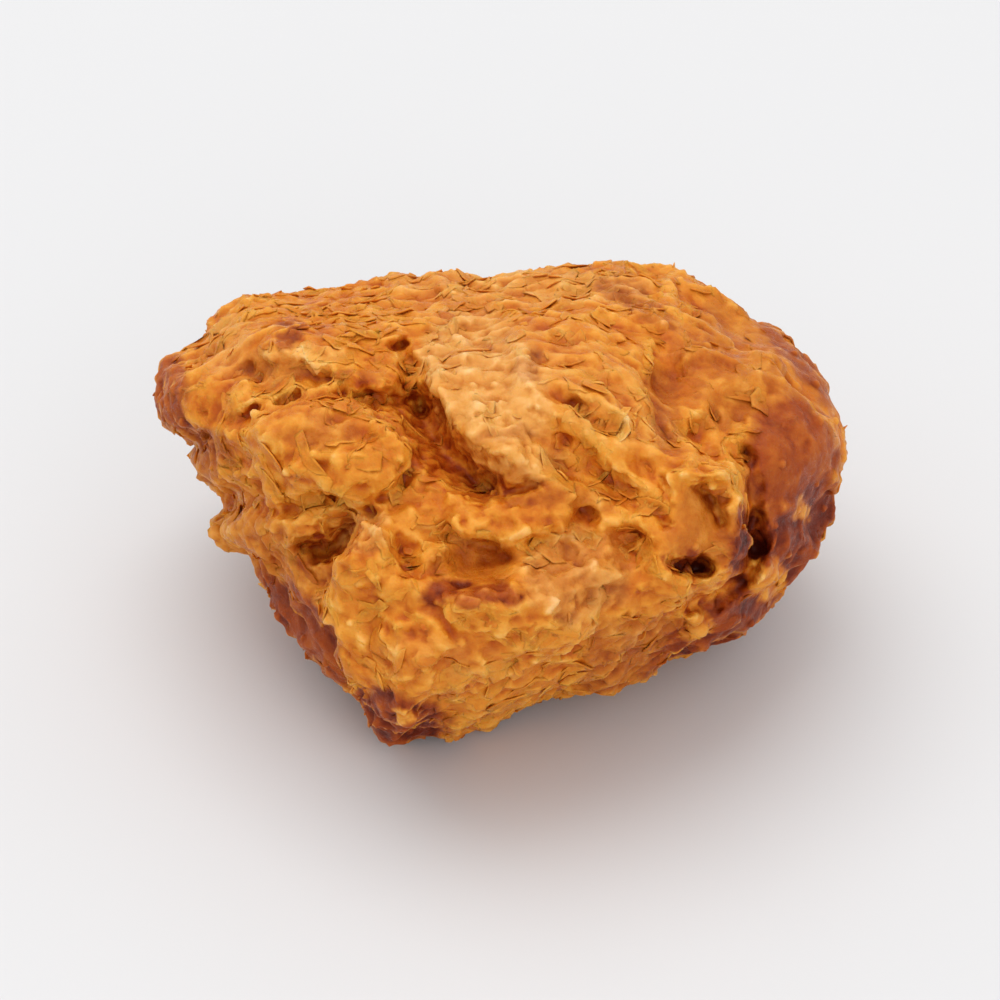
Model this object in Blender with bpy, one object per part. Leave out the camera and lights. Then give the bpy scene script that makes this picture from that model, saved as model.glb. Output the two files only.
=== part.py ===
"""A boneless chicken wing: one chunk of fried chicken in a thick, craggy flour crust.

The piece lies on its flattest side. Its folds, hollows and torn flaps are placed where the
photograph shows them, which looks at it along +Y from above. The sides that the photograph
doesn't show are finished like it. Metres, +Z up. The origin is under the middle of the piece,
on the surface that it lies on.
"""

import math

import bmesh
import bpy
import numpy as np
from mathutils import Vector, noise

MM = 0.001

# Driving sizes of the whole piece.
LENGTH = 60 * MM
DEPTH = 50 * MM
ROUND_HEIGHT = 37 * MM  # before the foot is pressed flat
MIDDLE_HEIGHT = 15 * MM  # of the widest part, above the surface that it lies on
FULLNESS = 2.7  # of the lower half: 2 is an egg, more is squarer
FOOT_CUT = 0.2 * MM  # taken off the underside, so that the foot is truly flat

# How far the photograph looks down on the piece, and what its pixels measure.
PHOTO_LOOKS_DOWN = math.radians(38)
PHOTO_MIDDLE = (681, 627)
PHOTO_WIDTH = 328
PIXEL_MM = LENGTH / MM / PHOTO_WIDTH

# How finely the solid is made.
BALL_SUBDIVISIONS = 7
FUSING_GRID = 0.55 * MM
TRIANGLES = 9600

CRUST_COLOUR = (0.60, 0.25, 0.055, 1.0)
CRUST_ROUGHNESS = 0.5

# The outline in the photograph, clockwise from the left end, in its pixels.
OUTLINE = [
    (516, 590), (517, 563), (527, 556), (535, 550), (550, 531), (575, 525), (605, 522),
    (634, 517), (665, 517), (700, 515), (735, 511), (757, 512), (771, 517), (785, 526),
    (800, 536), (825, 553), (839, 577), (845, 603), (843, 621), (833, 652), (822, 665),
    (812, 677), (799, 691), (765, 703), (735, 718), (705, 721), (690, 728), (675, 736),
    (658, 740), (645, 739), (633, 743), (619, 736), (616, 723), (595, 706), (585, 696),
    (575, 682), (561, 656), (550, 652), (541, 642), (546, 629), (533, 613), (529, 600),
]

# Swellings and hollows on the side that the photograph shows: the middle and the two radii in
# its pixels, the turn in degrees, and the height in millimetres, below 0 in a hollow.
FRONT_SWELLINGS = {
    "top roll": ((598, 544), (66, 22), 4, 3.0),
    "left lobe": ((592, 599), (54, 30), 4, 3.0),
    "nose": ((680, 578), (32, 46), 35, 4.2),
    "nose's foot": ((684, 608), (24, 16), -10, 1.8),
    "bundle of strands": ((735, 582), (70, 34), -36, 2.4),
    "right end": ((812, 606), (36, 54), 10, 1.6),
    "apron": ((672, 698), (64, 44), 10, 3.6),
    "lobe right of the mouth": ((714, 668), (32, 25), 10, 1.8),
    "row of chips": ((686, 628), (34, 18), 0, 1.6),
    "left nub": ((527, 577), (14, 22), 0, 1.6),
    "bottom tip": ((634, 729), (20, 14), 0, 1.8),
    "dimple on the right end": ((790, 589), (6, 5), 0, -1.0),
}
FRONT_KNOBS = {
    "pocket": ((772, 636), (28, 32), 10, 3.4),
    "bottom of the split": ((648, 598), (13, 15), 20, -3.0),
    "hollow under the slab's tip": ((630, 582), (19, 8), -14, -4.4),
    "hollow at the apron's corner": ((605, 647), (13, 10), 30, -3.2),
    "mouth": ((671, 655), (21, 9), 5, -3.4),
    "pocket's lower hole": ((769, 656), (12, 6.5), -8, -5.5),
    "pocket's upper hole": ((757, 622), (7, 4.5), -35, -3.4),
    "slit inside the pocket": ((756, 637), (6, 2.5), 0, -1.6),
    "hollow behind the pocket": ((797, 650), (9, 14), 10, -2.0),
    "pit in the top roll": ((584, 551), (8, 9), 20, -1.5),
    "pit on the nose": ((694, 566), (7, 7), 0, -1.5),
    "chip by the strands": ((732, 640), (8, 8), 0, 1.8),
    "crumb baked on": ((806, 665), (11, 11), -30, 3.2),
    "bead under the pocket": ((772, 686), (7, 8), 0, 2.0),
    "bead on the right end": ((823, 633), (5, 5), 0, 1.4),
    "bead on the bottom tip": ((638, 726), (6, 5), 0, 1.2),
}

# Cracks with steep sides: the way in pixels, the width to one side and the depth in millimetres.
FRONT_CRACKS = {
    "top of the split": ([(635, 544), (636, 558), (640, 574), (646, 588)], 1.5, 4.2),
    "split down the middle": ([(640, 576), (646, 590), (653, 603), (665, 613), (686, 622)], 2.7, 5.6),
    "left of the apron": ([(626, 631), (616, 640), (605, 649), (584, 650)], 1.7, 4.0),
    "right of the mouth": ([(692, 647), (708, 643), (730, 645)], 0.8, 1.8),
    "slot in the pocket": ([(768, 619), (778, 626), (786, 640)], 1.0, 4.0),
    "behind the pocket, above": ([(791, 600), (797, 620), (799, 640)], 1.3, 2.6),
    "behind the pocket, below": ([(798, 632), (798, 648), (791, 664), (779, 674), (762, 680)], 1.9, 4.6),
    "between the strands": ([(700, 619), (716, 630), (730, 634), (742, 647)], 0.8, 1.8),
}

# Torn edges of the crust's flaps. The side on the left of the way stands up and leans over the
# other: its height, how far the flap stays raised, how deep the other side dips and how far the
# edge leans over it, in millimetres.
FRONT_FLAPS = {
    "top roll": (
        [(543, 550), (547, 567), (560, 563), (580, 561), (600, 565), (612, 573), (626, 572), (635, 560)],
        1.7, 3.0, 0.6, 0.35,
    ),
    "slab": ([(555, 589), (572, 581), (590, 575), (605, 574), (614, 580), (624, 584)], 1.4, 2.2, 1.2, 0.35),
    "left lobe's top": (
        [(642, 612), (640, 598), (630, 591), (617, 583), (602, 576), (588, 580), (572, 590), (560, 601)],
        1.7, 3.2, 0.6, 0.35,
    ),
    "left lobe's foot": (
        [(558, 632), (575, 629), (590, 623), (606, 621), (620, 625), (634, 620), (642, 611), (642, 602)],
        2.0, 3.2, 1.2, 0.35,
    ),
    "plate under the lobe": ([(564, 643), (580, 639), (596, 636), (612, 631), (624, 625)],
                             1.2, 1.8, 1.4, 0.35),
    "apron": (
        [(630, 630), (619, 633), (614, 645), (606, 660), (598, 671), (608, 684), (611, 698), (616, 714),
         (617, 728), (622, 743)],
        4.6, 6.0, 1.2, 0.7,
    ),
    "left foot": ([(550, 655), (566, 664), (580, 676), (594, 682), (608, 680)], 1.8, 3.2, 1.0, 0.35),
    "nose": (
        [(640, 544), (639, 558), (646, 573), (648, 584), (653, 592), (659, 603), (668, 611), (690, 621)],
        2.6, 3.6, 0.6, 0.35,
    ),
    "wrinkle on the nose": ([(664, 599), (676, 597), (690, 596), (700, 603)], 0.9, 2.0, 0.7, 0.35),
    "chips over the mouth": ([(652, 637), (664, 643), (676, 648), (688, 651), (694, 642), (698, 632)],
                             2.0, 1.8, 0.8, 0.35),
    "chips beside the mouth": ([(694, 640), (702, 646), (711, 643), (714, 632), (717, 620)],
                               1.8, 1.8, 0.8, 0.35),
    "mouth's right corner": ([(698, 644), (690, 652), (690, 664)], 1.2, 2.4, 0.5, 0.35),
    "pocket": ([(738, 670), (756, 671), (772, 670), (789, 665), (797, 652), (797, 636), (791, 618)],
               1.4, 2.0, 0.6, 0.35),
    "apron's right foot": ([(733, 708), (746, 698), (753, 685), (762, 675), (776, 668)], 1.8, 3.2, 1.0, 0.35),
    "skin over the right end": (
        [(843, 624), (838, 604), (829, 583), (815, 563), (803, 551), (788, 545), (777, 534), (768, 519)],
        1.4, 3.0, 0.5, 0.35,
    ),
    "right of the apron": ([(690, 664), (688, 676), (692, 690), (700, 702)], 0.9, 3.2, 0.5, 0.35),
}

# Rounded strands and wrinkles: the way in pixels, the width to one side and the height in
# millimetres, below 0 in a soft valley.
FRONT_STRANDS = {
    "mouth's lower lip": ([(640, 650), (650, 663), (666, 673), (684, 672), (696, 660)], 1.3, 1.5),
    "pocket's rim": ([(752, 613), (772, 612), (788, 619), (794, 634), (793, 652), (787, 663), (774, 668)],
                     1.2, 1.8),
    "valley before the right end": ([(760, 550), (759, 574), (764, 594), (784, 610)], 2.2, -1.9),
    "crease on the right end": ([(764, 600), (778, 592), (792, 580), (815, 573)], 1.0, -1.0),
    "strand 1": ([(656, 532), (684, 531), (704, 534), (722, 543)], 1.1, 0.9),
    "strand 2": ([(668, 540), (700, 547), (728, 558), (750, 578), (760, 598)], 0.9, 1.1),
    "strand 3": ([(686, 553), (712, 564), (732, 579), (748, 596)], 0.8, 0.9),
    "strand 4": ([(696, 563), (722, 574), (744, 590), (762, 606)], 0.8, 1.0),
    "strand 5": ([(694, 576), (716, 587), (742, 602), (764, 612), (788, 619)], 0.9, 1.5),
    "strand 6": ([(700, 590), (722, 601), (740, 613), (754, 626)], 0.8, 1.2),
    "strand 7": ([(698, 612), (713, 620), (728, 628), (741, 637), (751, 650)], 0.9, 1.9),
    "layer 1": ([(546, 636), (570, 640), (590, 646)], 0.9, 0.8),
    "layer 2": ([(548, 648), (572, 655), (598, 663)], 0.9, 1.0),
    "layer 3": ([(560, 660), (578, 668), (600, 674)], 0.9, 0.8),
    "wrinkle on the lobe": ([(560, 606), (590, 610), (625, 606)], 0.9, 0.7),
    "wrinkle on the slab": ([(552, 574), (580, 571), (606, 576)], 0.9, 0.7),
    "wrinkle 1 on the apron": ([(620, 668), (645, 672), (668, 682), (692, 688)], 0.9, 0.8),
    "wrinkle 2 on the apron": ([(616, 690), (645, 694), (670, 700), (698, 700)], 0.9, 0.8),
    "wrinkle 3 on the apron": ([(622, 708), (650, 710), (676, 714), (700, 710)], 0.9, 0.7),
}


def eased(share):
    """0 to 1 with a soft start and end."""
    share = np.clip(share, 0, 1)
    return share * share * (3 - 2 * share)


def unit_rows(rows):
    return rows / np.linalg.norm(rows, axis=1)[:, None]


class View:
    """A direction to look from. across, up and near are its picture's axes, in the part's frame."""

    def __init__(self, azimuth, looks_down):
        a = math.radians(azimuth)
        sine, cosine = math.sin(looks_down), math.cos(looks_down)
        self.across = np.array([math.cos(a), math.sin(a), 0.0])
        self.up = np.array([-math.sin(a) * sine, math.cos(a) * sine, cosine])
        self.near = np.array([math.sin(a) * cosine, -math.cos(a) * cosine, sine])

    def back_to_frame(self, u, v, near):
        return np.outer(u, self.across) + np.outer(v, self.up) + np.outer(near, self.near)


PHOTO = View(0, PHOTO_LOOKS_DOWN)


def photo_mm(pixels):
    """Pixels of the photograph as millimetres from the piece's middle, in its picture."""
    x, y = np.array(pixels, float).T
    return np.stack([x - PHOTO_MIDDLE[0], PHOTO_MIDDLE[1] - y], axis=-1) * PIXEL_MM


def rounded_outline(points, steps=12):
    """A closed smooth curve through the points, as angles and radii round the middle."""
    share = np.linspace(0, 1, steps, endpoint=False)[:, None]
    curve = []
    for i in range(len(points)):
        a, b, c, d = (points[(i + k) % len(points)] for k in (-1, 0, 1, 2))
        square = (2 * a - 5 * b + 4 * c - d) * share**2
        cube = (3 * b - a - 3 * c + d) * share**3
        curve.append(0.5 * (2 * b + (c - a) * share + square + cube))
    curve = np.concatenate(curve)
    angle = np.arctan2(curve[:, 1], curve[:, 0])
    order = np.argsort(angle)
    return angle[order], np.hypot(curve[:, 0], curve[:, 1])[order]


class Relief:
    """What is drawn in one view's picture, on points at (u, v) millimetres of it.

    rise is how far each point comes nearer, and shift is how far it moves across the picture.
    """

    def __init__(self, u, v):
        self.u, self.v = u, v
        self.rise = np.zeros(len(u))
        self.shift = np.zeros((len(u), 2))

    def swelling(self, middle, radii, turn, height, roundness=1.0):
        """A mound, or a hollow. Its side is steeper where roundness is below 1."""
        du, dv = self.u - middle[0], self.v - middle[1]
        c, s = math.cos(math.radians(turn)), math.sin(math.radians(turn))
        a = (du * c + dv * s) / radii[0]
        b = (dv * c - du * s) / radii[1]
        self.rise += height * np.clip(1 - a * a - b * b, 0, 1) ** roundness

    def along(self, way):
        """Distance to a way, its side, the direction to it, and the share of the way covered."""
        distance = np.full(len(self.u), np.inf)
        side, share = np.zeros(len(self.u)), np.zeros(len(self.u))
        towards = np.zeros((len(self.u), 2))
        lengths = np.hypot(*(way[1:] - way[:-1]).T)
        done = 0.0
        for start, end, length in zip(way[:-1], way[1:], lengths):
            du, dv = (end - start) / length
            a, b = self.u - start[0], self.v - start[1]
            run = np.clip(a * du + b * dv, 0, length)
            gap = np.stack([run * du - a, run * dv - b], axis=-1)
            gap_length = np.hypot(*gap.T)
            nearer = gap_length < distance
            distance[nearer] = gap_length[nearer]
            side[nearer] = np.sign(du * b - dv * a)[nearer]
            share[nearer] = ((done + run) / lengths.sum())[nearer]
            towards[nearer] = gap[nearer]
            done += length
        return distance, side, towards / np.maximum(distance, 1e-6)[:, None], share

    def strand(self, way, width, height, ends=0.15):
        """A rounded ridge, or a soft valley."""
        distance, _, _, share = self.along(way)
        fade = eased(np.minimum(share, 1 - share) / ends)
        self.rise += height * np.exp(-((distance / width) ** 2)) * fade

    def crack(self, way, width, depth, ends=0.12):
        """A cut with steep sides."""
        distance, _, _, share = self.along(way)
        fade = eased(np.minimum(share, 1 - share) / ends)
        self.rise -= depth * np.clip(1 - distance / width, 0, 1) ** 0.7 * fade

    def flap(self, way, height, reach, dip, lean, edge=0.4, ends=0.12):
        """A flap's torn edge. The flap is on the left of the way."""
        distance, side, towards, share = self.along(way)
        fade = eased(np.minimum(share, 1 - share) / ends)
        inward = distance * side
        on_flap = eased((inward + edge) / (2 * edge))
        raised = height * on_flap * np.exp(-((np.maximum(inward, 0) / reach) ** 2))
        dipped = dip * (1 - on_flap) * np.exp(-((np.minimum(inward, 0) / (reach / 2)) ** 2))
        self.rise += (raised - dipped) * fade
        leaning = lean * on_flap * np.exp(-((inward / 1.5) ** 2)) * fade * np.sign(inward)
        self.shift += towards * leaning[:, None]


def draw_front(relief):
    """The side that the photograph shows."""
    for middle, radii, turn, height in FRONT_SWELLINGS.values():
        relief.swelling(photo_mm([middle])[0], np.array(radii) * PIXEL_MM, turn, height)
    for middle, radii, turn, height in FRONT_KNOBS.values():
        relief.swelling(photo_mm([middle])[0], np.array(radii) * PIXEL_MM, turn, height, 0.7)
    for way, width, depth in FRONT_CRACKS.values():
        relief.crack(photo_mm(way), width, depth)
    for way, height, reach, dip, lean in FRONT_FLAPS.values():
        relief.flap(photo_mm(way), height, reach, dip, lean)
    for way, width, height in FRONT_STRANDS.values():
        relief.strand(photo_mm(way), width, height)


def draw_back(relief):
    """Behind, in millimetres of that view: two lobes with a split between them, and strands."""
    relief.swelling((13, 5), (17, 13), 10, 2.4)
    relief.swelling((-15, 3), (15, 15), -10, 3.0)
    relief.swelling((2, -9), (14, 8), 0, 2.0)
    split = np.array([(-4.0, 3), (-3, -3), (3, -5), (10, -5)])
    right_of_split = np.array([(-2.0, 4), (-3, 0), (-1, -3), (4, -4)])
    low_flap = np.array([(-16.0, -9), (-4, -9), (4, -4), (12, -3), (20, -5), (26, -3)])
    left_flap = np.array([(-27.0, 2), (-20, 0), (-14, 3), (-9, 8)])
    relief.crack(split, 2.0, 3.2)
    relief.flap(right_of_split, 1.6, 4.0, 0.8, 0.35)
    relief.flap(low_flap, 2.2, 5.0, 1.2, 0.35)
    relief.flap(left_flap, 1.8, 4.0, 1.0, 0.35)
    relief.swelling((-7, -4), (3.4, 2.4), 30, -3.0, 0.7)
    for step in range(4):
        x = 4 + 4 * step
        relief.strand(np.array([(x, 12 - 1.3 * step), (x + 5, 4 - 1.3 * step), (x + 7, -3)]), 0.9, 0.8)
    relief.strand(np.array([(-24.0, 8), (-18, 9), (-13, 13)]), 1.0, 1.0)
    relief.strand(np.array([(-20.0, -5), (-12, -4), (-6, -7)]), 0.9, 0.9)


def draw_left(relief):
    """The left end, in millimetres of that view: torn layers and a notch."""
    relief.swelling((6, 3), (9, 8), 0, 1.8)
    relief.swelling((-9, -3), (9, 6), 0, 1.6)
    upper_layer = np.array([(-15.0, 3), (-6, 2), (0, 4), (6, 10)])
    lower_layer = np.array([(-8.0, -7), (0, -4), (7, -5), (14, -4)])
    relief.crack(upper_layer + (0.5, 0.8), 1.6, 2.8)
    relief.flap(upper_layer, 1.6, 3.0, 0.8, 0.35)
    relief.flap(lower_layer, 1.6, 3.0, 1.0, 0.35)
    relief.swelling((2, 0), (2.6, 2.0), 0, -2.0, 0.7)


def draw_right(relief):
    """The right end, in millimetres of that view: a smooth dome with edges of crust round it."""
    upper_edge = np.array([(-16.0, 6), (-8, 8), (1, 9), (10, 6), (16, 0)])
    lower_edge = np.array([(-12.0, -6), (-3, -7), (6, -5), (14, -6)])
    relief.flap(upper_edge, 1.2, 3.0, 0.6, 0.35)
    relief.flap(lower_edge, 1.4, 3.0, 0.8, 0.35)
    relief.swelling((-3, 1), (10, 6), 10, 1.0)
    relief.strand(np.array([(-10.0, 3), (-2, 4), (7, 2)]), 0.9, 0.7)
    relief.swelling((8, -1), (2.4, 1.8), 20, -1.6, 0.7)


def draw_under(relief):
    """The underside, in millimetres of that view: a seam where the meat folds, and two flaps."""
    seam = np.array([(-18.0, -4), (-8, 0), (2, -3), (12, 2), (20, 1)])
    near_flap = np.array([(-20.0, 9), (-8, 11), (4, 8), (16, 11)])
    far_flap = np.array([(18.0, -12), (6, -14), (-6, -11), (-16, -13)])
    relief.crack(seam, 1.8, 2.0)
    relief.flap(near_flap, 1.4, 3.0, 0.8, 0.35)
    relief.flap(far_flap, 1.4, 3.0, 0.8, 0.35)


# The views, in the order in which they are drawn. A later one only fills what is left.
SIDES = (
    (PHOTO, draw_front),
    (View(180, math.radians(25)), draw_back),
    (View(-90, math.radians(10)), draw_left),
    (View(90, math.radians(10)), draw_right),
    (View(0, math.radians(-75)), draw_under),
)


def plain_form(ball):
    """Points and normals of the piece without relief, from points on a ball of radius 1."""
    # Below the middle the sides come down steeply to a broad foot.
    x, y, z = ball.T
    fuller = (np.hypot(x, y) ** FULLNESS + np.abs(z) ** FULLNESS) ** (-1 / FULLNESS)
    halves = np.array([LENGTH, DEPTH, ROUND_HEIGHT]) / 2 / MM
    points = ball * np.where(z < 0, fuller, 1.0)[:, None] * halves
    return points, unit_rows(ball / halves)


def fitted_to_outline(points):
    """In the photograph's picture, the rim moves out or in to the real outline."""
    u, v, near = points @ PHOTO.across, points @ PHOTO.up, points @ PHOTO.near
    angle, radius = np.arctan2(v, u), np.hypot(u, v)
    sectors = 120
    sector = ((angle + math.pi) / (2 * math.pi) * sectors).astype(int) % sectors
    widest = np.zeros(sectors)
    np.maximum.at(widest, sector, radius)
    sector_angles = (np.arange(sectors) + 0.5) / sectors * 2 * math.pi - math.pi
    rim = np.interp(angle, sector_angles, widest, period=2 * math.pi)
    wanted = np.interp(angle, *rounded_outline(photo_mm(OUTLINE)), period=2 * math.pi)
    stretch = 1 + (wanted / rim - 1) * eased(1.1 * radius / rim)
    return PHOTO.back_to_frame(u * stretch, v * stretch, near)


def waves(points, size, strength, place):
    """Uneven bumps of about this size in millimetres, all over."""
    away = Vector((place, 2 * place, -place))
    return np.array([noise.noise(Vector(p) / size + away) for p in points]) * strength


def crust_points(ball):
    """The crust's points in millimetres, from points on a ball of radius 1."""
    points, normals = plain_form(ball)
    points = fitted_to_outline(points)

    # Small waves in the picture make the drawn edges ragged.
    ragged = [waves(points, 3.3, 0.8, 3 + k) + waves(points, 1.1, 0.3, 9 + k) for k in range(2)]
    moved = np.zeros(points.shape)
    left = np.ones(len(points))
    for view, draw in SIDES:
        relief = Relief(points @ view.across + ragged[0], points @ view.up + ragged[1])
        draw(relief)
        share = eased((normals @ view.near + 0.05) / 0.45) * left
        left = left * (1 - share)
        moved += share[:, None] * view.back_to_frame(*relief.shift.T, relief.rise)
    moved += normals * (waves(points, 9, 0.8, 21) + waves(points, 3.5, 0.5, 27))[:, None]
    points = fitted_to_outline(points + moved)

    # It lies on its flattest side.
    points[:, 2] = np.maximum(points[:, 2] + MIDDLE_HEIGHT / MM, 0)
    return points


def crust_material():
    material = bpy.data.materials.new("fried_crust")
    material.use_nodes = True
    shader = material.node_tree.nodes["Principled BSDF"]
    shader.inputs["Base Color"].default_value = CRUST_COLOUR
    shader.inputs["Roughness"].default_value = CRUST_ROUGHNESS
    shader.inputs["Metallic"].default_value = 0.0
    return material


def apply_modifier(piece, kind, **settings):
    modifier = piece.modifiers.new(kind.lower(), kind)
    for name, value in settings.items():
        setattr(modifier, name, value)
    with bpy.context.temp_override(object=piece, active_object=piece, selected_objects=[piece]):
        bpy.ops.object.modifier_apply(modifier=modifier.name)


def keep_outer_skin(piece):
    """Fills what fusing has sealed inside, and drops loose scraps."""
    body = bmesh.new()
    body.from_mesh(piece.data)
    top = max(body.verts, key=lambda vertex: vertex.co.z)
    skin, edge_of_skin = {top}, [top]
    while edge_of_skin:
        vertex = edge_of_skin.pop()
        for edge in vertex.link_edges:
            other = edge.other_vert(vertex)
            if other not in skin:
                skin.add(other)
                edge_of_skin.append(other)
    bmesh.ops.delete(body, geom=[v for v in body.verts if v not in skin], context="VERTS")
    body.to_mesh(piece.data)
    body.free()


def cut_foot_and_centre(piece):
    """Cuts the underside flat, and puts the foot at height 0 under the middle of the piece."""
    body = bmesh.new()
    body.from_mesh(piece.data)
    cut = bmesh.ops.bisect_plane(
        body,
        geom=body.verts[:] + body.edges[:] + body.faces[:],
        plane_co=(0, 0, FOOT_CUT),
        plane_no=(0, 0, 1),
        clear_inner=True,
    )
    rim = [edge for edge in cut["geom_cut"] if isinstance(edge, bmesh.types.BMEdge)]
    bmesh.ops.triangle_fill(body, use_beauty=True, edges=rim)
    bmesh.ops.triangulate(body, faces=body.faces[:])
    bmesh.ops.recalc_face_normals(body, faces=body.faces[:])
    corners = np.array([vertex.co for vertex in body.verts])
    middle = (corners.min(axis=0) + corners.max(axis=0)) / 2
    bmesh.ops.translate(body, vec=(-middle[0], -middle[1], -FOOT_CUT), verts=body.verts)
    body.to_mesh(piece.data)
    body.free()


def build_piece():
    body = bmesh.new()
    bmesh.ops.create_icosphere(body, subdivisions=BALL_SUBDIVISIONS, radius=1.0)
    points = crust_points(np.array([vertex.co for vertex in body.verts]))
    for vertex, point in zip(body.verts, points * MM):
        vertex.co = point
    mesh = bpy.data.meshes.new("boneless_wing")
    body.to_mesh(mesh)
    body.free()
    piece = bpy.data.objects.new("boneless_wing", mesh)
    bpy.context.scene.collection.objects.link(piece)

    # Leaning edges that meet the crust below them fuse with it, as they do in the fryer.
    apply_modifier(piece, "REMESH", mode="VOXEL", voxel_size=FUSING_GRID)
    keep_outer_skin(piece)
    apply_modifier(piece, "DECIMATE", ratio=TRIANGLES / (2 * len(piece.data.polygons)))
    cut_foot_and_centre(piece)
    piece.data.materials.append(crust_material())
    piece.data.shade_smooth()


for leftover in list(bpy.data.objects):
    bpy.data.objects.remove(leftover)
build_piece()
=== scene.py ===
import math

import bmesh
import bpy
import numpy as np
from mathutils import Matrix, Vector, kdtree, noise
from mathutils.bvhtree import BVHTree


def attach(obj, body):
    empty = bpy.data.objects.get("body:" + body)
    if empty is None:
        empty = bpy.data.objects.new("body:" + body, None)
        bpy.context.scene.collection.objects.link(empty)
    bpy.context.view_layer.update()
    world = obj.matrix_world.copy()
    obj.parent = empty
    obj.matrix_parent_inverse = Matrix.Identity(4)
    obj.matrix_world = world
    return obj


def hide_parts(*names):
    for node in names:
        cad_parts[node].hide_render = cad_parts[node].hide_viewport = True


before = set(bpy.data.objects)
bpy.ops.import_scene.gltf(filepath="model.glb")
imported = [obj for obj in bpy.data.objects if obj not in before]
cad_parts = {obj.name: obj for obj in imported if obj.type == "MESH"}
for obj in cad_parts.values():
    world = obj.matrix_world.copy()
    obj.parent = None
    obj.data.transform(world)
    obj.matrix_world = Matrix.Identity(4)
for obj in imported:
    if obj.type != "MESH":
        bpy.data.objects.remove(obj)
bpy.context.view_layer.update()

# THE CHUNK OF CHICKEN IN ITS CRUST
# A piece of breast meat, tossed in seasoned flour and deep fried, so that the wet flour has set
# into lobes, torn flaps and strands over it. It is sculpted here from a ball: first the large
# forms, then the fine crust, and then its colour: the browning that the fryer gave it, with
# painted shade in its hollows, creases and undersides, and its crests painted lighter.

# Sizes are in millimetres and turned to metres where a mesh or a material takes them.
MM = 0.001
LENGTH, DEPTH, ROUND_HEIGHT = 60.0, 50.0, 37.0
# How high the ball's middle stands, and how full its underside is: 2 would be a plain ball.
MIDDLE_HEIGHT = 15.0
FULLNESS = 2.7
# The mesh's grain when the large forms are drawn and carved, and when the flakes are fused in.
FORM_GRAIN, FUSED_GRAIN = 0.23, 0.24
MOST_TRIANGLES = 198000

# The photograph looks down on the piece by this much. Places in it are in its pixels.
PHOTO_LOOKS_DOWN = math.radians(38)
PHOTO_MIDDLE = (681, 627)
PIECE_PIXELS = 328
PIXEL_MM = LENGTH / PIECE_PIXELS

OUTLINE = [
    (516, 590), (517, 563), (527, 556), (535, 550), (550, 531), (575, 525), (605, 522),
    (634, 517), (665, 517), (700, 515), (735, 511), (757, 512), (771, 517), (785, 526),
    (800, 536), (825, 553), (839, 577), (845, 603), (843, 621), (833, 652), (822, 665),
    (812, 677), (799, 691), (765, 703), (735, 718), (705, 721), (690, 728), (675, 736),
    (658, 740), (645, 739), (633, 743), (619, 736), (616, 723), (595, 706), (585, 696),
    (575, 682), (561, 656), (550, 652), (541, 642), (546, 629), (533, 613), (529, 600),
]

# Swellings and hollows: the middle and the two radii in pixels, the turn in degrees, the height
# in millimetres, and the roundness, which is given where the side is steep.
SWELLINGS = {
    "top roll": ((598, 544), (66, 22), 4, 3.0),
    "left lobe": ((592, 599), (54, 30), 4, 3.0),
    "nose": ((680, 578), (32, 46), 35, 3.3),
    "nose's foot": ((684, 608), (24, 16), -10, 1.4),
    "bundle of strands": ((735, 582), (70, 34), -36, 2.4),
    "right end": ((812, 606), (36, 54), 10, 1.6),
    "apron": ((672, 698), (64, 44), 10, 3.6),
    "lobe right of the mouth": ((714, 668), (32, 25), 10, 1.8),
    "row of chips": ((686, 628), (34, 18), 0, 1.6),
    "left nub": ((527, 577), (14, 22), 0, 1.6),
    "bottom tip": ((634, 729), (20, 14), 0, 1.8),
    "dimple on the right end": ((790, 589), (6, 5), 0, -1.0),
    "pocket": ((772, 636), (28, 32), 10, 3.4, 0.7),
    "chip by the strands": ((732, 640), (8, 8), 0, 1.2, 0.7),
    "crumb baked on": ((806, 665), (11, 9), -30, 4.0, 0.5),
    "bead under the pocket": ((772, 686), (7, 8), 0, 2.0, 0.7),
    "bead on the right end": ((823, 633), (5, 5), 0, 1.4, 0.7),
    "bead on the bottom tip": ((638, 726), (6, 5), 0, 1.2, 0.7),
}
HOLLOWS = {
    "bottom of the split": ((648, 596), (12, 15), 20, -1.5),
    "hollow under the slab's tip": ((626, 583), (19, 7), -14, -1.9),
    "hollow at the apron's corner": ((604, 647), (13, 8), 30, -1.6),
    "mouth": ((670, 655), (22, 8), 5, -0.5),
    "pocket's lower hole": ((768, 657), (13, 5), -8, -3.2, 0.7),
    "pocket's upper hole": ((757, 621), (7, 2.8), -40, -0.9),
    "slit inside the pocket": ((756, 637), (6, 2), 0, -0.8),
    "hollow behind the pocket": ((797, 650), (8, 14), 10, -1.8),
    "pit in the top roll": ((584, 551), (7, 8), 20, -0.6),
    "pit on the nose": ((694, 566), (6, 6), 0, -0.6),
    "pinhole in the nub": ((543, 597), (4, 3.2), 20, -2.6, 0.7),
}
# Cuts with steep sides: the way in pixels, and the width and depth in millimetres.
CRACKS = {
    "top of the split": ([(634, 550), (635, 558), (640, 572), (646, 588)], 1.1, 2.4),
    "split down the middle": ([(640, 574), (646, 590), (653, 603), (665, 613), (684, 621)], 2.2, 3.4),
    "under the roll": ([(604, 569), (614, 577), (626, 581), (640, 578)], 1.0, 1.6),
    "left of the apron": ([(626, 631), (616, 640), (605, 649), (584, 650)], 1.3, 2.4),
    "right of the mouth": ([(692, 647), (708, 643), (728, 645)], 0.7, 1.1),
    "over the mouth": ([(654, 643), (670, 646), (684, 650)], 0.6, 0.8),
    "slot in the pocket": ([(770, 619), (778, 627), (785, 641)], 0.6, 1.5),
    "behind the pocket, above": ([(791, 600), (797, 620), (799, 640)], 1.1, 1.7),
    "behind the pocket, below": ([(799, 630), (799, 646), (793, 662), (781, 672), (764, 679)], 1.4, 2.6),
    "under the nose's foot": ([(666, 618), (684, 624), (700, 619)], 0.7, 1.2),
}
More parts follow.
